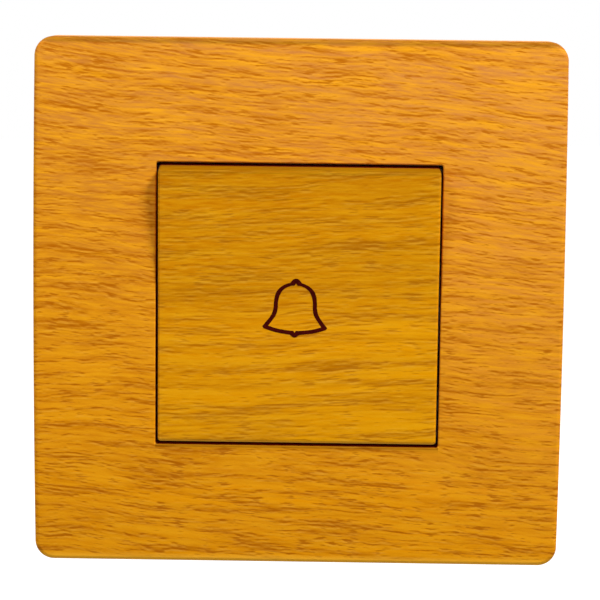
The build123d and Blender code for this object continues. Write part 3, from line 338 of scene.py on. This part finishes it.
# painted light: the gap walls are redder than the bare plastic, so that the shade in the gap keeps
# some maroon
GAP_PAINTED_LIGHT = linear("#b0351c")
KEY_SIDE_GAP = 0.4
GAP_MIDDLE = KEY_HALF + KEY_SIDE_GAP / 2
GAP_BAND = 0.5
FILM_BAND = 1.3


def film_over_plastic(tree, film, look, colour):
    """The print where there is film, bare plastic elsewhere, and painted light on the walls of the
    gap.
    """
    outer = add(tree, "Math", {0: film["across"], 1: film["upright"]}, operation="MAXIMUM")
    edge = look["half_size"] - FILM_BAND
    on_side = add(tree, "Math", {0: outer, 1: edge}, operation="GREATER_THAN")
    depth = film["depth"]
    near_front = add(tree, "Math", {0: depth, 1: look["film_depth"]}, operation="LESS_THAN")
    covered = add(tree, "Math", {0: on_side, 1: near_front}, operation="MAXIMUM")
    not_too_deep = add(tree, "Math", {0: depth, 1: look["side_depth"]}, operation="LESS_THAN")
    covered = add(tree, "Math", {0: covered, 1: not_too_deep}, operation="MULTIPLY")

    # painted light on the walls of the gap, deeper than paint_depth
    in_gap = add(tree, "Math", {0: outer, 1: GAP_MIDDLE, 2: GAP_BAND}, operation="COMPARE")
    deep = add(tree, "Math", {0: depth, 1: look["paint_depth"]}, operation="GREATER_THAN")
    in_gap = add(tree, "Math", {0: in_gap, 1: deep}, operation="MULTIPLY")
    bare = add(tree, "Mix", {0: in_gap, 6: BARE_PLASTIC, 7: GAP_PAINTED_LIGHT}, **TWO_COLOURS)
    return add(tree, "Mix", {0: covered, 6: bare, 7: colour}, **TWO_COLOURS)


print("middle of the gap at", round(GAP_MIDDLE, 2), "mm")

# %% The whole film
PORE_DULL = 0.15
PORE_DEPTH = 0.06


def wood_film(name, look):
    """Printed wood film over plastic. A look holds the colours and the lie of the grain."""
    material = new_material(name)
    tree = material.node_tree
    film = film_place(tree, look)
    lie_of_grain(tree, film, look)
    colour = printed_ground(tree, film, look)
    colour, pore = printed_pores(tree, film, look, colour)
    # painted shade and painted highlights along the edges
    colour = paint_edge_light(tree, film, look, colour)
    colour = film_over_plastic(tree, film, look, colour)

    # pores are duller than the satin between them, and pressed in
    satin = look["roughness"]
    rough = add(tree, "MapRange", {0: pore, 3: satin, 4: satin + PORE_DULL})
    relief = add(tree, "Math", {0: pore, 1: -1.0}, operation="MULTIPLY")
    inputs = {"Height": relief, "Strength": look["relief"], "Distance": PORE_DEPTH * MM}
    bump = add(tree, "Bump", inputs)
    inputs = {"Base Color": colour, "Roughness": rough, "Normal": bump}
    inputs["Specular IOR Level"] = look["gloss"]
    shader = add(tree, "BsdfPrincipled", inputs)
    add(tree, "OutputMaterial", {"Surface": shader})
    return material


# %% [markdown]
# The frame and the key are pressed from different sheets, so each has a look of its own. Waves are
# given by length, height and reach in millimetres. The key is yellower, its pores are longer and
# fainter, and its grain lies flatter. Depths are millimetres behind the front. The print ends at
# film_depth inside the outer edge and at side_depth on the sides. The redder gap walls, which are
# painted light, start at paint_depth. The painted shade and highlights along the edges have faded
# out at edge_light_depth.

# %% Film on the cover frame
ANYWHERE = 99
# the colour of the painted shade on the frame's edges
FRAME_PAINTED_SHADE = linear("#5a3a00")
FRAME_LOOK = dict(
    half_size=FRAME_HALF, upper_slope=0.0, seed=3.0,
    film_depth=0.35, side_depth=20.0, paint_depth=0.5, edge_light_depth=1.8,
    slope_low=0.04, slope_high=0.1, waves=((70, 30, 7.0), (16, 9, 1.6), (3, 1.5, 0.25)),
    shade_drift_lean=-0.3, warm=linear("#c47a1c"), gold=linear("#f09a00"),
    line=linear("#c87600"), line_strength=0.6,
    painted_sheen=linear("#cc8450"), painted_sheen_strength=0.5,
    fibre=linear("#f0a414"), fibre_strength=0.6,
    pore=linear("#b26000"), pore_strength=0.85, pore_size=(2.6, 0.34),
    pore_highlight=linear("#f6b038"), pore_highlight_strength=0.45,
    stripe_size=(14, 1.2), stripe_strength=0.7,
    # painted shade on the top edge and along the window's lower edge, and a painted highlight on
    # the bottom edge
    edge_light_rows=(
        (41.9, 42.4, ANYWHERE, ANYWHERE, 0.5, FRAME_PAINTED_SHADE),
        (-41.6, -42.6, 0, ANYWHERE, 0.9, linear("#ffb830")),
        (-24.1, -23.3, -23.0, 23.1, 0.25, FRAME_PAINTED_SHADE),
        (-23.5, -23.3, -23.0, 23.1, 0.6, FRAME_PAINTED_SHADE),
    ),
    roughness=0.42, gloss=0.03, relief=0.06,
)
frame_film = wood_film("wood_film_frame", FRAME_LOOK)
wear("cover_frame", frame_film)
print("wood film on the frame:", len(frame_film.node_tree.nodes), "nodes")

# %% Film on the key
KEY_TRAVEL = 6
# the colour of the painted shade on the key's edges
KEY_PAINTED_SHADE = linear("#4e3600")
KEY_LOOK = dict(
    half_size=KEY_HALF, upper_slope=math.tan(math.radians(KEY_TRAVEL)), seed=11.0,
    film_depth=0.6, side_depth=2.6, paint_depth=2.9, edge_light_depth=20.0,
    slope_low=-0.02, slope_high=-0.03, waves=((50, 16, 3.5), (14, 6, 0.6), (3, 1.5, 0.12)),
    shade_drift_lean=-0.3, warm=linear("#cf7e00"), gold=linear("#e89c00"),
    line=linear("#bc7200"), line_strength=0.7,
    painted_sheen=linear("#d18000"), painted_sheen_strength=0.0,
    fibre=linear("#e8a410"), fibre_strength=0.6,
    pore=linear("#a86000"), pore_strength=0.65, pore_size=(3.4, 0.36),
    pore_highlight=linear("#f0b234"), pore_highlight_strength=0.45,
    stripe_size=(22, 1.6), stripe_strength=0.6,
    # painted shade over the key's upper part, on its top edge and above its lower edge, and a
    # painted highlight on its bottom edge
    edge_light_rows=(
        (15.5, 21.4, ANYWHERE, ANYWHERE, 0.11, KEY_PAINTED_SHADE),
        (21.45, 21.75, ANYWHERE, ANYWHERE, 0.44, KEY_PAINTED_SHADE),
        (21.9, 22.1, ANYWHERE, ANYWHERE, 0.38, KEY_PAINTED_SHADE),
        (-21.7, -22.1, 0, ANYWHERE, 0.15, KEY_PAINTED_SHADE),
        (-22.2, -22.5, 0, ANYWHERE, 0.9, linear("#ffc040")),
    ),
    roughness=0.4, gloss=0.03, relief=0.05,
)
key_film = wood_film("wood_film_key", KEY_LOOK)
wear("rocker_key", key_film)
print("wood film on the key:", len(key_film.node_tree.nodes), "nodes")

# %% [markdown]
# Behind the face every piece has a plain working finish. Moulded plastic has slight clouding of
# its colour, and a spark-eroded texture that takes the shine off it. The real texture is finer
# than a tenth of a millimetre and is drawn that coarse, so that it shows from near. One flat
# colour would be quicker, but the clouding is what tells plastic from paper.

# %% Moulded plastic
PLASTIC_CLOUD = 9
PLASTIC_RANGE = {1: 0.3, 2: 0.7}
PLASTIC_GLOSS_SPREAD = 0.04
PLASTIC_RELIEF = 0.25
GRIT_DEPTH = 0.03


def moulded(name, colour, cloud, roughness, grit):
    """Moulded plastic: clouded colour and a fine texture from the mould, grit in millimetres."""
    material = new_material(name)
    tree = material.node_tree
    place = add(tree, "TexCoord", output="Object")
    scale = 1 / (PLASTIC_CLOUD * MM)
    slow = add(tree, "TexNoise", {"Vector": place, "Scale": scale, "Detail": 2.0})
    fine = add(tree, "TexNoise", {"Vector": place, "Scale": 1 / (grit * MM), "Detail": 1.0})
    amount = add(tree, "MapRange", {0: slow, **PLASTIC_RANGE})
    shade = add(tree, "Mix", {0: amount, 6: linear(colour), 7: linear(cloud)}, **TWO_COLOURS)
    spread = {3: roughness - PLASTIC_GLOSS_SPREAD, 4: roughness + PLASTIC_GLOSS_SPREAD}
    rough = add(tree, "MapRange", {0: slow, **PLASTIC_RANGE, **spread})
    inputs = {"Height": fine, "Strength": PLASTIC_RELIEF, "Distance": GRIT_DEPTH * MM}
    bump = add(tree, "Bump", inputs)
    inputs = {"Base Color": shade, "Roughness": rough, "Normal": bump}
    shader = add(tree, "BsdfPrincipled", inputs)
    add(tree, "OutputMaterial", {"Surface": shader})
    return material


# %% [markdown]
# Metal shows how it was worked: ground, rolled and cut metal has long marks one way, and plated
# metal small even ones. Coiled wire turns every way, so its marks are even too. The marks are
# noise stretched along X, Y or Z, and a slow stain lies over them, as on parts that have been
# handled.

# %% Worked metal
STAIN_SIZE = 4
STAIN_RANGE = {1: 0.35, 2: 0.7}
MARK_RANGE = {1: 0.3, 2: 0.7}
MARK_DULL = 0.15
MARK_RELIEF = 0.2
MARK_DEPTH = 0.01


def worked_metal(name, colour, dull, roughness, stretch):
    """Metal with fine marks. Stretch gives the marks' size along X, Y and Z in millimetres."""
    material = new_material(name)
    tree = material.node_tree
    place = add(tree, "TexCoord", output="Object")
    scale = [1 / (size * MM) for size in stretch]
    drawn = add(tree, "VectorMath", {0: place, 1: scale}, operation="MULTIPLY")
    marks = add(tree, "TexNoise", {"Vector": drawn, "Scale": 1.0, "Detail": 3.0})
    scale = 1 / (STAIN_SIZE * MM)
    stain = add(tree, "TexNoise", {"Vector": place, "Scale": scale, "Detail": 2.0})
    amount = add(tree, "MapRange", {0: stain, **STAIN_RANGE})
    shade = add(tree, "Mix", {0: amount, 6: linear(colour), 7: linear(dull)}, **TWO_COLOURS)
    spread = {3: roughness, 4: roughness + MARK_DULL}
    rough = add(tree, "MapRange", {0: marks, **MARK_RANGE, **spread})
    inputs = {"Height": marks, "Strength": MARK_RELIEF, "Distance": MARK_DEPTH * MM}
    bump = add(tree, "Bump", inputs)
    inputs = {"Base Color": shade, "Metallic": 1.0, "Roughness": rough, "Normal": bump}
    shader = add(tree, "BsdfPrincipled", inputs)
    add(tree, "OutputMaterial", {"Surface": shader})
    return material


# %% [markdown]
# A table says what each hidden piece is. Polycarbonate and urea are matt off-whites, nylon is a
# dark grey, and acetal is smoother to the eye, because it slides. Zinc plate is a pale even grey.
# Ground steel is shinier, with marks along the pin. Brass is yellow, with the cutter's marks
# running to the rear. Bronze is redder, with marks across the switch, the way its strip was
# rolled. The silver of the contacts is nearly white.

# %% Which hidden piece has which finish
plate_plastic = moulded("moulded_polycarbonate", "#e0ded4", "#d8d5c9", 0.5, 0.12)
housing_plastic = moulded("moulded_nylon", "#2a2a2c", "#323236", 0.55, 0.1)
lid_plastic = moulded("moulded_urea", "#d3d0c4", "#cac7b9", 0.45, 0.12)
dolly_plastic = moulded("moulded_acetal", "#ebeae4", "#e2e1da", 0.35, 0.15)
plunger_plastic = moulded("red_acetal", "#be2c20", "#b3271c", 0.3, 0.15)
zinc = worked_metal("zinc_plated_steel", "#bcc0c4", "#a9adb1", 0.3, (0.6, 0.6, 0.6))
ground_steel = worked_metal("ground_steel", "#b4b6b8", "#9fa2a5", 0.22, (3.0, 0.1, 0.1))
spring_wire = worked_metal("drawn_spring_wire", "#9d9fa2", "#87898c", 0.3, (0.3, 0.3, 0.3))
brass = worked_metal("machined_brass", "#cda352", "#b98f42", 0.3, (0.1, 2.0, 0.4))
bronze = worked_metal("stamped_bronze", "#c7805a", "#ad6b49", 0.35, (3.0, 0.3, 0.2))
silver = worked_metal("silver_alloy", "#dcdcd8", "#c9c7c0", 0.25, (0.3, 0.3, 0.3))
finishes = {
    "rocker_dolly": dolly_plastic,
    "pivot_pin": ground_steel,
    "mounting_plate": plate_plastic,
    "module_base": housing_plastic,
    "module_cover": lid_plastic,
    "plunger": plunger_plastic,
    "contact_bridge": bronze,
    "moving_contacts": silver,
    "spring_cup": zinc,
    "return_spring": spring_wire,
    "fixed_contact_left": bronze,
    "fixed_contact_right": bronze,
    "fixed_rivets": silver,
    "terminal_left": brass,
    "terminal_right": brass,
    "terminal_screws": zinc,
    "module_screws": zinc,
    "cover_screws": zinc,
}
for node_name, material in finishes.items():
    wear(node_name, material)
print("hidden finishes on", len(finishes), "pieces")

# %% [markdown]
# The coil spring behind the plunger shortens by more than a millimetre when the key is pressed. A
# solid can't do that. It could be squashed with the joint, but then its front end would not follow
# the plunger exactly. Here a copy of its mesh takes the solid's place, and the solid is hidden.
# A solid's mesh comes as loose triangles, so the copy is welded and its faces are turned outwards
# before it is shaded smooth.

# %% A welded copy of the spring
WELD = 0.001
SMOOTH_ANGLE = 50


def weld():
    """Merges the doubled points of the active object and turns its faces outwards."""
    bpy.ops.object.mode_set(mode="EDIT")
    bpy.ops.mesh.select_all(action="SELECT")
    bpy.ops.mesh.remove_doubles(threshold=WELD * MM)
    bpy.ops.mesh.normals_make_consistent(inside=False)
    bpy.ops.object.mode_set(mode="OBJECT")


bpy.ops.object.select_all(action="DESELECT")
coil = bpy.data.objects.new("coil_spring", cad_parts["return_spring"].data.copy())
bpy.context.scene.collection.objects.link(coil)
bpy.context.view_layer.objects.active = coil
coil.select_set(True)
weld()
bpy.ops.object.shade_smooth_by_angle(angle=math.radians(SMOOTH_ANGLE))
coil_front, coil_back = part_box("return_spring")
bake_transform(coil)
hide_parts("return_spring")
coil_length = round((coil_back.y - coil_front.y) / MM, 2)
print("coil spring:", len(coil.data.polygons), "faces,", coil_length, "mm long")

# %% [markdown]
# The bell sign is printed on the key in a very dark maroon: an outline bell with a knob on top
# and a clapper below. It could be painted in the key's material, but as a mesh of its own it
# keeps a sharp edge from any distance. It starts as a flat curve with two closed
# lines, the outer edge with the knob and the clapper, and the inner edge. The curve is made a
# mesh, pressed onto the key's face and given the thickness of a coat of ink.

# %% Outline of the bell
CURVE_STEPS = 10
# the right half of each edge in millimetres, from the top down; a corner stays sharp
OUTER_EDGE = (
    (0.0, 4.8), (0.45, 4.66), (0.74, 4.36), (0.92, 4.1), (1.96, 3.69), (2.89, 2.89),
    (3.25, 2.2), (3.46, 1.0), (3.53, -0.15), (3.8, -1.13), (4.54, -2.25), (5.27, -3.17),
    (5.0, -3.52), (3.1, -4.08), (1.3, -4.36), (0.72, -4.44), (0.25, -4.83), (0.0, -4.87),
)
INNER_EDGE = (
    (0.0, 3.98), (0.2, 3.72), (0.82, 3.6), (1.8, 3.1), (2.4, 2.37), (2.8, 1.0), (2.86, -0.3),
    (3.09, -1.26), (3.63, -2.1), (4.31, -3.07), (2.6, -3.53), (0.7, -3.77), (0.15, -3.82),
    (0.0, -4.1),
)
SHARP = {(5.27, -3.17), (5.0, -3.52), (4.31, -3.07), (0.72, -4.44), (0.92, 4.1)}


def closed_line(curve, half):
    """One closed line, from the right half of its points and their mirror image."""
    points = list(half) + [(-across, up) for across, up in reversed(half[1:-1])]
    spline = curve.splines.new("BEZIER")
    spline.bezier_points.add(len(points) - 1)
    spline.use_cyclic_u = True
    for bezier, (across, up) in zip(spline.bezier_points, points):
        bezier.co = (across * MM, up * MM, 0)
        kind = "VECTOR" if (abs(across), up) in SHARP else "AUTO"
        bezier.handle_left_type = kind
        bezier.handle_right_type = kind


bpy.ops.object.select_all(action="DESELECT")
bpy.ops.curve.primitive_bezier_circle_add(radius=MM)
bell = bpy.context.object
bell.name = "bell_sign"
bell.data.splines.clear()
bell.data.dimensions = "2D"
bell.data.fill_mode = "BOTH"
bell.data.resolution_u = CURVE_STEPS
closed_line(bell.data, OUTER_EDGE)
closed_line(bell.data, INNER_EDGE)
print("bell edges:", [len(spline.bezier_points) for spline in bell.data.splines], "points")

# %% From a flat curve to ink on the key
INK = 0.03
SIGN_X = -0.45
SIGN_Z = -0.2
SIGN_TURN = 1.2
key_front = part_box("rocker_key")[0].y
bell.rotation_euler = (math.pi / 2, math.radians(SIGN_TURN), 0)
bell.location = (SIGN_X * MM, key_front, SIGN_Z * MM)
bpy.ops.object.convert(target="MESH")
bpy.ops.object.transform_apply(location=True, rotation=True, scale=True)
press = bell.modifiers.new("press", "SHRINKWRAP")
press.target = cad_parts["rocker_key"]
press.wrap_method = "PROJECT"
press.use_project_x = False
press.use_project_y = True
press.use_project_z = False
press.use_positive_direction = True
press.use_negative_direction = False
bpy.ops.object.modifier_apply(modifier="press")
coat = bell.modifiers.new("coat", "SOLIDIFY")
coat.thickness = INK * MM
coat.offset = 1.0
bpy.ops.object.modifier_apply(modifier="coat")
weld()
sign_low, sign_high = ([round(c / MM, 2) for c in bell.bound_box[n]] for n in (0, 6))
print("bell sign:", len(bell.data.polygons), "faces, from", sign_low, "to", sign_high)

# %% [markdown]
# Screen-printed ink is almost even, with a slight mottle from the mesh of the screen, and it is
# duller than the film. Real mottle is finer than the camera shows from here, so it is drawn as
# coarse as it needs to be to show.

# %% Finish of the ink
INK_MOTTLE = 0.4
INK_RANGE = {1: 0.35, 2: 0.75}
INK_ROUGHNESS = 0.5
INK_GLOSS = 0.05
INK_RELIEF = 0.2
INK_DEPTH = 0.01


def printed_ink(name, colour, worn):
    """Screen-printed ink, with worn spots where the screen left less of it."""
    material = new_material(name)
    tree = material.node_tree
    place = add(tree, "TexCoord", output="Object")
    scale = 1 / (INK_MOTTLE * MM)
    mottle = add(tree, "TexNoise", {"Vector": place, "Scale": scale, "Detail": 2.0})
    amount = add(tree, "MapRange", {0: mottle, **INK_RANGE})
    shade = add(tree, "Mix", {0: amount, 6: linear(colour), 7: linear(worn)}, **TWO_COLOURS)
    inputs = {"Height": mottle, "Strength": INK_RELIEF, "Distance": INK_DEPTH * MM}
    bump = add(tree, "Bump", inputs)
    inputs = {"Base Color": shade, "Roughness": INK_ROUGHNESS, "Normal": bump}
    inputs["Specular IOR Level"] = INK_GLOSS
    shader = add(tree, "BsdfPrincipled", inputs)
    add(tree, "OutputMaterial", {"Surface": shader})
    return material


bell.data.materials.clear()
bell.data.materials.append(printed_ink("maroon_ink", "#380200", "#4a0803"))
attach(bell, "rocker")
print("ink on the bell sign")

# %% [markdown]
# The photograph has a pure white ground. A pale floor lies well below the switch. What it sends
# back as light is kept low, so that the face isn't lit from below, and a glow that only the camera
# sees lifts it to white. The glow is weaker near the switch, where the soft shadow lies.
# From below the floor is clear, so that the underside of the switch can be looked at.

# %% Floor
FLOOR_SIZE = 6000
FLOOR_DROP = 170
FLOOR_MOTTLE = 50
NEAR_GLOW = 0.62
FAR_GLOW = 0.95
GLOW_RANGE = {1: 250 * MM, 2: 600 * MM}
bpy.ops.object.select_all(action="DESELECT")
bpy.ops.mesh.primitive_plane_add(size=FLOOR_SIZE * MM, location=(0, 0, -FLOOR_DROP * MM))
floor = bpy.context.object
floor.name = "floor"
floor_paint = new_material("pale_floor")
tree = floor_paint.node_tree
place = add(tree, "TexCoord", output="Object")
scale = 1 / (FLOOR_MOTTLE * MM)
mottle = add(tree, "TexNoise", {"Vector": place, "Scale": scale, "Detail": 3.0})
tone = add(tree, "Mix", {0: mottle, 6: linear("#9a9a98"), 7: linear("#949492")}, **TWO_COLOURS)
matt = add(tree, "BsdfDiffuse", {"Color": tone})
ray = add(tree, "LightPath", output="Is Camera Ray")
reach = add(tree, "VectorMath", {0: place}, operation="LENGTH", output=1)
white = add(tree, "MapRange", {0: reach, **GLOW_RANGE, 3: NEAR_GLOW, 4: FAR_GLOW})
glow = add(tree, "Emission", {"Color": (1, 1, 1, 1), "Strength": white})
nothing = add(tree, "Emission", {"Color": (0, 0, 0, 1), "Strength": 0.0})
lift = add(tree, "MixShader", {0: ray, 1: nothing, 2: glow})
both = add(tree, "AddShader", {0: matt, 1: lift})
underside = add(tree, "NewGeometry", output="Backfacing")
clear = add(tree, "BsdfTransparent", {"Color": (1, 1, 1, 1)})
one_sided = add(tree, "MixShader", {0: underside, 1: both, 2: clear})
add(tree, "OutputMaterial", {"Surface": one_sided})
floor.data.materials.append(floor_paint)
print("floor at", -FLOOR_DROP, "mm")

# %% [markdown]
# The world is white to the camera and in reflections, but greyer as a light.
# The face is lit from above: a lamp at the upper right throws the key's shadow to the left, and a
# weaker one at the upper left answers it. A third, behind, only shows the parts of the back. Each
# is a square soft lamp that shines at the switch.

# %% World
WORLD_LIGHT = 0.4
scene = bpy.context.scene
world = bpy.data.worlds.new("studio")
scene.world = world
world.use_nodes = True
tree = world.node_tree
tree.nodes.clear()
paths = add(tree, "LightPath").node.outputs
seen = {0: paths["Is Camera Ray"], 1: paths["Is Glossy Ray"]}
seen = add(tree, "Math", seen, operation="MAXIMUM")
seen = add(tree, "Math", {0: seen, 1: paths["Is Transmission Ray"]}, operation="MAXIMUM")
dim = add(tree, "Background", {"Color": (1, 1, 1, 1), "Strength": WORLD_LIGHT})
white = add(tree, "Background", {"Color": (1, 1, 1, 1), "Strength": 1.0})
mixed_light = add(tree, "MixShader", {0: seen, 1: dim, 2: white})
add(tree, "OutputWorld", {"Surface": mixed_light})
print("world as a light:", WORLD_LIGHT)

# %% Lamps
# each lamp's name, the way out to it, its distance and size in millimetres, and its watts
LAMPS = (
    ("upper_right_lamp", (1.32, -1.0, 2.0), 900, 220, 9.3),
    ("upper_left_lamp", (-1.5, -1.0, 1.95), 800, 200, 3.15),
    ("rear_lamp", (0.6, 1.0, 0.3), 900, 400, 2.5),
)
for name, way, distance, size, watts in LAMPS:
    bpy.ops.object.select_all(action="DESELECT")
    spot = Vector(way).normalized() * (distance * MM)
    bpy.ops.object.light_add(type="AREA", location=spot)
    lamp = bpy.context.object
    lamp.name = name
    lamp.data.size = size * MM
    lamp.data.energy = watts
    lamp.rotation_euler = Vector(way).to_track_quat("Z", "Y").to_euler()

# %% [markdown]
# The photograph was taken from about 40 centimetres, a little above the middle and almost
# straight on. Where the edges of the frame and the window lie in the picture gives the distance,
# the height, a hair of roll and the lens.

# %% Camera
IMAGE_SIZE = 600
DISTANCE = 400.0
PITCH = 7.45
YAW = 0.64
ROLL = 0.7
FOCAL_PIXELS = 2414.7
AIM_X = 0.19
AIM_Z = -0.15
SENSOR_WIDTH = 36
NEAREST = 10
pitch, yaw, roll = (math.radians(angle) for angle in (PITCH, YAW, ROLL))
level = math.cos(pitch)
back = Vector((math.sin(yaw) * level, -math.cos(yaw) * level, math.sin(pitch)))
aim = Vector((AIM_X, 0, AIM_Z)) * MM
camera_data = bpy.data.cameras.new("camera")
camera = bpy.data.objects.new("camera", camera_data)
scene.collection.objects.link(camera)
camera_data.sensor_width = SENSOR_WIDTH
camera_data.lens = FOCAL_PIXELS / IMAGE_SIZE * SENSOR_WIDTH
camera_data.clip_start = NEAREST * MM
turn = (-back).to_track_quat("-Z", "Y").to_matrix().to_4x4()
stand = Matrix.Translation(aim + back * DISTANCE * MM)
camera.matrix_world = stand @ turn @ Matrix.Rotation(roll, 4, "Z")
scene.camera = camera
scene.view_settings.view_transform = "Standard"
camera_place = [round(c / MM, 1) for c in camera.matrix_world.translation]
print("camera at", camera_place, "lens", round(camera_data.lens, 1))
